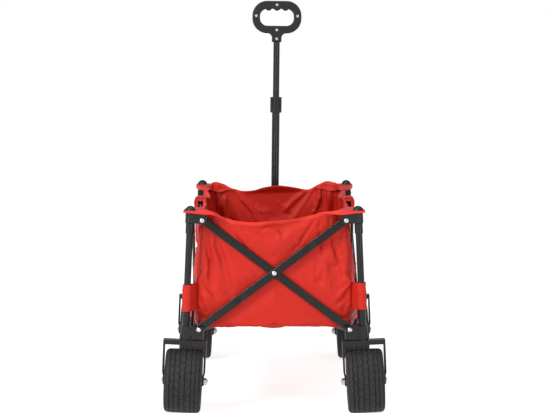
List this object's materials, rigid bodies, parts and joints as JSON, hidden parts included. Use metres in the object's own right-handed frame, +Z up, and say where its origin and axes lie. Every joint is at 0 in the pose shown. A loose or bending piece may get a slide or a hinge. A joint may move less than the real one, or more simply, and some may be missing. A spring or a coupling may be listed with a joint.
{
  "type": "folding camp wagon",
  "caption": "Folding camp wagon with a cross-braced steel frame, open fabric basket, wide wheels on forks and a telescoping pull handle.",
  "frame": {"origin": "on the ground, under the middle of the wagon's overall box", "axes": "+X to the right seen from the rear end, +Y from the rear end to the handle end, +Z up"},
  "size_m": [0.6296, 1.0566, 1.1523],
  "materials": {
    "frame_steel": "black powder coat, soft sheen",
    "black_plastic": "fine moulded texture",
    "bright_steel": "bright zinc plate",
    "tyre": "matte, blocky tread",
    "wheel_plastic": "moulded",
    "red_fabric": "coated polyester plain weave"
  },
  "bodies": {
    "corner_rear_left": {"rear_left_post_tube": "frame_steel", "rear_left_lower_bracket": "black_plastic", "rear_left_fork": "black_plastic", "rear_left_axle": "bright_steel", "basket": "red_fabric"},
    "wheel_rear_left": {"rear_left_tyre": "tyre", "rear_left_wheel": "wheel_plastic"},
    "upper_rear_left": {"rear_left_upper_bracket": "black_plastic", "rear_left_upper_tube": "frame_steel", "rear_left_post_cap": "black_plastic"},
    "bar_rear_left": {"rear_left_floor_bar": "frame_steel"},
    "corner_rear_right": {"rear_right_post_tube": "frame_steel", "rear_right_lower_bracket": "black_plastic", "rear_right_fork": "black_plastic", "rear_right_axle": "bright_steel"},
    "wheel_rear_right": {"rear_right_tyre": "tyre", "rear_right_wheel": "wheel_plastic"},
    "upper_rear_right": {"rear_right_upper_bracket": "black_plastic", "rear_right_upper_tube": "frame_steel", "rear_right_post_cap": "black_plastic"},
    "bar_rear_right": {"rear_right_floor_bar": "frame_steel"},
    "corner_front_left": {"front_left_post_tube": "frame_steel", "front_left_lower_bracket": "black_plastic"},
    "caster_front_left": {"front_left_fork": "black_plastic", "front_left_axle": "bright_steel"},
    "wheel_front_left": {"front_left_tyre": "tyre", "front_left_wheel": "wheel_plastic"},
    "upper_front_left": {"front_left_upper_bracket": "black_plastic", "front_left_upper_tube": "frame_steel", "front_left_post_cap": "black_plastic"},
    "bar_front_left": {"front_left_floor_bar": "frame_steel"},
    "corner_front_right": {"front_right_post_tube": "frame_steel", "front_right_lower_bracket": "black_plastic"},
    "caster_front_right": {"front_right_fork": "black_plastic", "front_right_axle": "bright_steel"},
    "wheel_front_right": {"front_right_tyre": "tyre", "front_right_wheel": "wheel_plastic"},
    "upper_front_right": {"front_right_upper_bracket": "black_plastic", "front_right_upper_tube": "frame_steel", "front_right_post_cap": "black_plastic"},
    "bar_front_right": {"front_right_floor_bar": "frame_steel"},
    "rear_arm_outer": {"rear_arm_outer": "frame_steel"},
    "rear_arm_inner": {"rear_arm_inner": "frame_steel"},
    "front_arm_outer": {"front_arm_outer": "frame_steel"},
    "front_arm_inner": {"front_arm_inner": "frame_steel"},
    "left_rear_arm_rising": {"left_rear_arm_rising": "frame_steel"},
    "left_rear_arm_falling": {"left_rear_arm_falling": "frame_steel"},
    "left_front_arm_rising": {"left_front_arm_rising": "frame_steel"},
    "left_front_arm_falling": {"left_front_arm_falling": "frame_steel"},
    "right_rear_arm_rising": {"right_rear_arm_rising": "frame_steel"},
    "right_rear_arm_falling": {"right_rear_arm_falling": "frame_steel"},
    "right_front_arm_rising": {"right_front_arm_rising": "frame_steel"},
    "right_front_arm_falling": {"right_front_arm_falling": "frame_steel"},
    "handle_base": {"handle_base": "frame_steel"},
    "handle_lower": {"handle_lower_tube": "frame_steel", "handle_collar": "black_plastic"},
    "handle_upper": {"handle_upper_tube": "frame_steel", "handle_grip": "black_plastic", "grip_screws": "bright_steel"},
    "handle_button": {"handle_button": "black_plastic"}
  },
  "joints": [
    {"name": "fold", "type": "hinge", "parent": "corner_rear_left", "child": "rear_arm_outer", "pos_m": [-0.20932, -0.43927, 0.23454], "axis": [0, -1, 0], "range_deg": [0, 38.85], "deforming": ["basket"]},
    {"name": "rear_centre", "type": "hinge", "parent": "rear_arm_outer", "child": "rear_arm_inner", "pos_m": [0, -0.43927, 0.39067], "axis": [0, -1, 0], "range_deg": [-81.6, 0]},
    {"name": "rear_right_low", "type": "hinge", "parent": "rear_arm_inner", "child": "corner_rear_right", "pos_m": [0.20932, -0.43927, 0.23454], "axis": [0, -1, 0], "range_deg": [0, 38.87]},
    {"name": "front_left_end_low", "type": "hinge", "parent": "corner_front_left", "child": "front_arm_inner", "pos_m": [-0.20932, 0.43927, 0.23454], "axis": [0, -1, 0], "range_deg": [0, 38.87]},
    {"name": "front_centre", "type": "hinge", "parent": "front_arm_inner", "child": "front_arm_outer", "pos_m": [0, 0.43927, 0.39067], "axis": [0, -1, 0], "range_deg": [-81.6, 0]},
    {"name": "handle_base_pivot", "type": "hinge", "parent": "front_arm_outer", "child": "handle_base", "pos_m": [0, 0.43927, 0.39067], "axis": [0, -1, 0], "range_deg": [0, 40.8]},
    {"name": "left_rear_low", "type": "hinge", "parent": "corner_rear_left", "child": "left_rear_arm_rising", "pos_m": [-0.23434, -0.40787, 0.2357], "axis": [0.9989, 0, -0.0464], "range_deg": [0, 40.77]},
    {"name": "left_rear_centre", "type": "hinge", "parent": "left_rear_arm_rising", "child": "left_rear_arm_falling", "pos_m": [-0.22727, -0.20394, 0.38779], "axis": [0.9989, 0, -0.0464], "range_deg": [-81.55, 0]},
    {"name": "left_rear_top", "type": "hinge", "parent": "left_rear_arm_falling", "child": "upper_rear_left", "pos_m": [-0.22021, -0.40787, 0.53987], "axis": [0.9989, 0, -0.0464], "range_deg": [0, 40.77]},
    {"name": "left_middle_top", "type": "hinge", "parent": "left_rear_arm_rising", "child": "left_front_arm_falling", "pos_m": [-0.22021, 0, 0.53987], "axis": [0.9989, 0, -0.0464], "range_deg": [-81.55, 0]},
    {"name": "left_front_centre", "type": "hinge", "parent": "left_front_arm_falling", "child": "left_front_arm_rising", "pos_m": [-0.22727, 0.20394, 0.38779], "axis": [0.9989, 0, -0.0464], "range_deg": [0, 81.55]},
    {"name": "left_front_low", "type": "hinge", "parent": "left_front_arm_falling", "child": "corner_front_left", "pos_m": [-0.23434, 0.40787, 0.2357], "axis": [0.9989, 0, -0.0464], "range_deg": [0, 40.77]},
    {"name": "left_front_top", "type": "hinge", "parent": "left_front_arm_rising", "child": "upper_front_left", "pos_m": [-0.22021, 0.40787, 0.53987], "axis": [0.9989, 0, -0.0464], "range_deg": [-40.77, 0]},
    {"name": "right_rear_low", "type": "hinge", "parent": "corner_rear_right", "child": "right_rear_arm_rising", "pos_m": [0.23434, -0.40787, 0.2357], "axis": [0.9989, 0, 0.0464], "range_deg": [0, 40.77]},
    {"name": "right_rear_centre", "type": "hinge", "parent": "right_rear_arm_rising", "child": "right_rear_arm_falling", "pos_m": [0.22727, -0.20394, 0.38779], "axis": [0.9989, 0, 0.0464], "range_deg": [-81.55, 0]},
    {"name": "right_rear_top", "type": "hinge", "parent": "right_rear_arm_falling", "child": "upper_rear_right", "pos_m": [0.22021, -0.40787, 0.53987], "axis": [0.9989, 0, 0.0464], "range_deg": [0, 40.77]},
    {"name": "right_middle_top", "type": "hinge", "parent": "right_rear_arm_rising", "child": "right_front_arm_falling", "pos_m": [0.22021, 0, 0.53987], "axis": [0.9989, 0, 0.0464], "range_deg": [-81.55, 0]},
    {"name": "right_front_centre", "type": "hinge", "parent": "right_front_arm_falling", "child": "right_front_arm_rising", "pos_m": [0.22727, 0.20394, 0.38779], "axis": [0.9989, 0, 0.0464], "range_deg": [0, 81.55]},
    {"name": "right_front_low", "type": "hinge", "parent": "right_front_arm_falling", "child": "corner_front_right", "pos_m": [0.23434, 0.40787, 0.2357], "axis": [0.9989, 0, 0.0464], "range_deg": [0, 40.77]},
    {"name": "right_front_top", "type": "hinge", "parent": "right_front_arm_rising", "child": "upper_front_right", "pos_m": [0.22021, 0.40787, 0.53987], "axis": [0.9989, 0, 0.0464], "range_deg": [-40.77, 0]},
    {"name": "rear_left_floor_bar", "type": "hinge", "parent": "corner_rear_left", "child": "bar_rear_left", "pos_m": [-0.21037, -0.40327, 0.22908], "axis": [0.8866, -0.4625, 0], "range_deg": [0, 81.64]},
    {"name": "rear_right_floor_bar", "type": "hinge", "parent": "corner_rear_right", "child": "bar_rear_right", "pos_m": [0.21037, -0.40327, 0.22908], "axis": [0.8866, 0.4625, 0], "range_deg": [0, 81.64]},
    {"name": "front_left_floor_bar", "type": "hinge", "parent": "corner_front_left", "child": "bar_front_left", "pos_m": [-0.21037, 0.40327, 0.22908], "axis": [-0.8866, -0.4625, 0], "range_deg": [0, 81.64]},
    {"name": "front_right_floor_bar", "type": "hinge", "parent": "corner_front_right", "child": "bar_front_right", "pos_m": [0.21037, 0.40327, 0.22908], "axis": [-0.8866, 0.4625, 0], "range_deg": [0, 81.64]},
    {"name": "rear_left_spin", "type": "hinge", "parent": "corner_rear_left", "child": "wheel_rear_left", "pos_m": [-0.25284, -0.43927, 0.09064], "axis": [0.9989, 0, -0.0464], "continuous": true},
    {"name": "rear_right_spin", "type": "hinge", "parent": "corner_rear_right", "child": "wheel_rear_right", "pos_m": [0.25284, -0.43927, 0.09064], "axis": [0.9989, 0, 0.0464], "continuous": true},
    {"name": "front_left_swivel", "type": "hinge", "parent": "corner_front_left", "child": "caster_front_left", "pos_m": [-0.24656, 0.43927, 0.22576], "axis": [0.0464, 0, 0.9989], "continuous": true},
    {"name": "front_left_spin", "type": "hinge", "parent": "caster_front_left", "child": "wheel_front_left", "pos_m": [-0.25284, 0.43927, 0.09064], "axis": [0.9989, 0, -0.0464], "continuous": true},
    {"name": "front_right_swivel", "type": "hinge", "parent": "corner_front_right", "child": "caster_front_right", "pos_m": [0.24656, 0.43927, 0.22576], "axis": [-0.0464, 0, 0.9989], "continuous": true},
    {"name": "front_right_spin", "type": "hinge", "parent": "caster_front_right", "child": "wheel_front_right", "pos_m": [0.25284, 0.43927, 0.09064], "axis": [0.9989, 0, 0.0464], "continuous": true},
    {"name": "handle_tilt", "type": "hinge", "parent": "handle_base", "child": "handle_lower", "pos_m": [0, 0.46127, 0.38067], "axis": [-1, 0, 0], "range_deg": [0, 100]},
    {"name": "handle_slide", "type": "slide", "parent": "handle_lower", "child": "handle_upper", "axis": [0.0113, 0, 0.9999], "range_m": [-0.174, 0]},
    {"name": "handle_button_press", "type": "slide", "parent": "handle_lower", "child": "handle_button", "axis": [0, 1, 0], "range_m": [0, 0.003], "stiffness_N_per_m": 400, "springref_m": -0.002}
  ],
  "couplings": [
    {"joint": "rear_centre", "follows": "fold", "ratio": -2.0991},
    {"joint": "rear_right_low", "follows": "fold", "ratio": 1},
    {"joint": "front_left_end_low", "follows": "fold", "ratio": 1},
    {"joint": "front_centre", "follows": "fold", "ratio": -2.0991},
    {"joint": "handle_base_pivot", "follows": "fold", "ratio": 1.0496},
    {"joint": "left_rear_low", "follows": "fold", "ratio": 1.0489},
    {"joint": "left_rear_centre", "follows": "fold", "ratio": -2.0978},
    {"joint": "left_rear_top", "follows": "fold", "ratio": 1.0489},
    {"joint": "left_middle_top", "follows": "fold", "ratio": -2.0978},
    {"joint": "left_front_centre", "follows": "fold", "ratio": 2.0978},
    {"joint": "left_front_low", "follows": "fold", "ratio": 1.0489},
    {"joint": "left_front_top", "follows": "fold", "ratio": -1.0489},
    {"joint": "right_rear_low", "follows": "fold", "ratio": 1.0489},
    {"joint": "right_rear_centre", "follows": "fold", "ratio": -2.0978},
    {"joint": "right_rear_top", "follows": "fold", "ratio": 1.0489},
    {"joint": "right_middle_top", "follows": "fold", "ratio": -2.0978},
    {"joint": "right_front_centre", "follows": "fold", "ratio": 2.0978},
    {"joint": "right_front_low", "follows": "fold", "ratio": 1.0489},
    {"joint": "right_front_top", "follows": "fold", "ratio": -1.0489},
    {"joint": "rear_left_floor_bar", "follows": "fold", "ratio": 2.1},
    {"joint": "rear_right_floor_bar", "follows": "fold", "ratio": 2.1},
    {"joint": "front_left_floor_bar", "follows": "fold", "ratio": 2.1},
    {"joint": "front_right_floor_bar", "follows": "fold", "ratio": 2.1}
  ]
}
